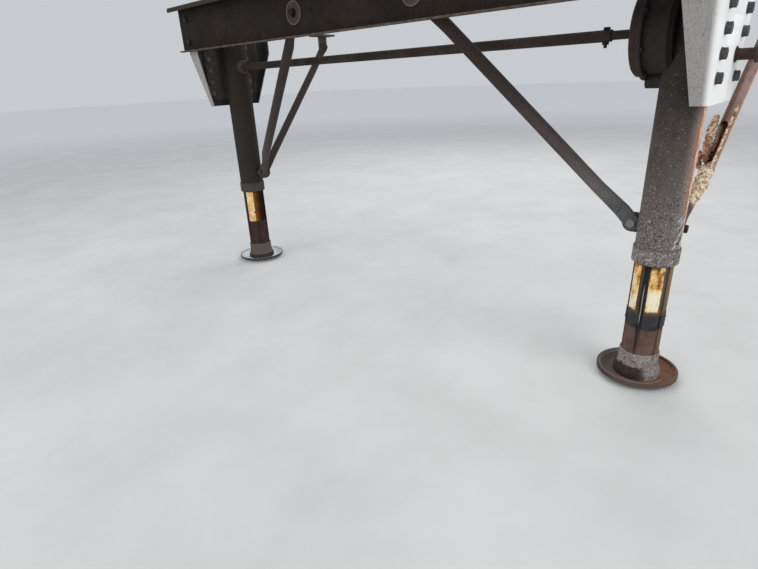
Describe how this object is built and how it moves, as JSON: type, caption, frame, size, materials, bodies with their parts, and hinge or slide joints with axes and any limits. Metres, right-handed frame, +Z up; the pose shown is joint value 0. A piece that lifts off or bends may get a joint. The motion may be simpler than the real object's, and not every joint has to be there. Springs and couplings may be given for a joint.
{
  "type": "semi trailer landing gear",
  "caption": "Two braced telescoping support legs with dished feet, on formed hangers under a cross beam, with gearbox, cross shaft and a folding hand crank.",
  "frame": {"origin": "middle of the cross beam's top face, where the gear hangs from the trailer", "axes": "+X forward to the trailer's front, +Y to its left side, +Z up"},
  "size_m": [1.1, 2.5455, 1.355],
  "materials": {
    "leg_paint": "old dark paint, gritty and rust stained",
    "collar_paint": "worn paint over rusty steel",
    "sliding_steel": "greasy, rusty sliding steel",
    "foot_casting": "dirty grey-brown casting",
    "foot_steel": "rusty dished steel with a dark edge",
    "hanger_white": "white paint with road grit",
    "bolt_steel": "black bolts",
    "brace_paint": "dull brown-grey paint",
    "corroded_paint": "peeling paint over heavy rust",
    "beam_paint": "dark brown paint",
    "gear_paint": "dark oily paint",
    "cover_paint": "red-brown primer and rust",
    "shaft_steel": "brown-grey shaft steel",
    "crank_steel": "dark worn crank steel",
    "grip_plastic": "black plastic sleeve"
  },
  "bodies": {
    "landing_gear": {"outer_tube_left": "leg_paint", "outer_tube_right": "leg_paint", "leg_collar_left": "collar_paint", "leg_collar_right": "collar_paint", "inner_tube_left": "sliding_steel", "inner_tube_right": "sliding_steel", "foot_boss_left": "foot_casting", "foot_boss_right": "foot_casting", "foot_pad_left": "foot_steel", "foot_pad_right": "foot_steel", "leg_cap_left": "leg_paint", "leg_cap_right": "leg_paint", "leg_lugs_left": "leg_paint", "leg_lugs_right": "leg_paint", "mounting_plate_left": "leg_paint", "mounting_plate_right": "leg_paint", "hanger_left": "hanger_white", "hanger_right": "hanger_white", "hanger_bolts_left": "bolt_steel", "hanger_bolts_right": "bolt_steel", "lateral_brace_left": "brace_paint", "lateral_brace_right": "brace_paint", "rear_brace_left": "corroded_paint", "rear_brace_right": "brace_paint", "rear_bracket_left": "leg_paint", "rear_bracket_right": "leg_paint", "brace_bolts_left": "bolt_steel", "brace_bolts_right": "bolt_steel", "cross_beam": "beam_paint", "beam_bolts": "bolt_steel", "gear_case": "gear_paint", "gear_cover": "cover_paint", "cover_bolts": "bolt_steel", "shaft_bearing": "leg_paint", "input_bushing": "shaft_steel"},
    "crank_shaft": {"input_shaft": "shaft_steel", "crank_knuckle": "crank_steel", "crank_pin": "bolt_steel"},
    "crank_handle": {"crank_handle": "crank_steel", "crank_grip": "grip_plastic"},
    "cross_shaft": {"cross_shaft": "shaft_steel", "shaft_stub_left": "shaft_steel", "shaft_stub_right": "shaft_steel", "coupling_bolt_left": "bolt_steel", "coupling_bolt_right": "bolt_steel"}
  },
  "joints": [
    {"name": "crank_spin", "type": "hinge", "parent": "landing_gear", "child": "crank_shaft", "pos_m": [-0.3275, 1.18, -0.349], "axis": [0, 1, 0], "continuous": true},
    {"name": "crank_fold", "type": "hinge", "parent": "crank_shaft", "child": "crank_handle", "pos_m": [-0.3275, 1.29, -0.349], "axis": [0, 0, -1], "range_deg": [0, 90]},
    {"name": "cross_shaft_spin", "type": "hinge", "parent": "landing_gear", "child": "cross_shaft", "pos_m": [-0.2475, 0, -0.28], "axis": [0, 1, 0], "continuous": true}
  ],
  "couplings": [
    {"joint": "cross_shaft_spin", "follows": "crank_spin", "ratio": -0.25}
  ]
}
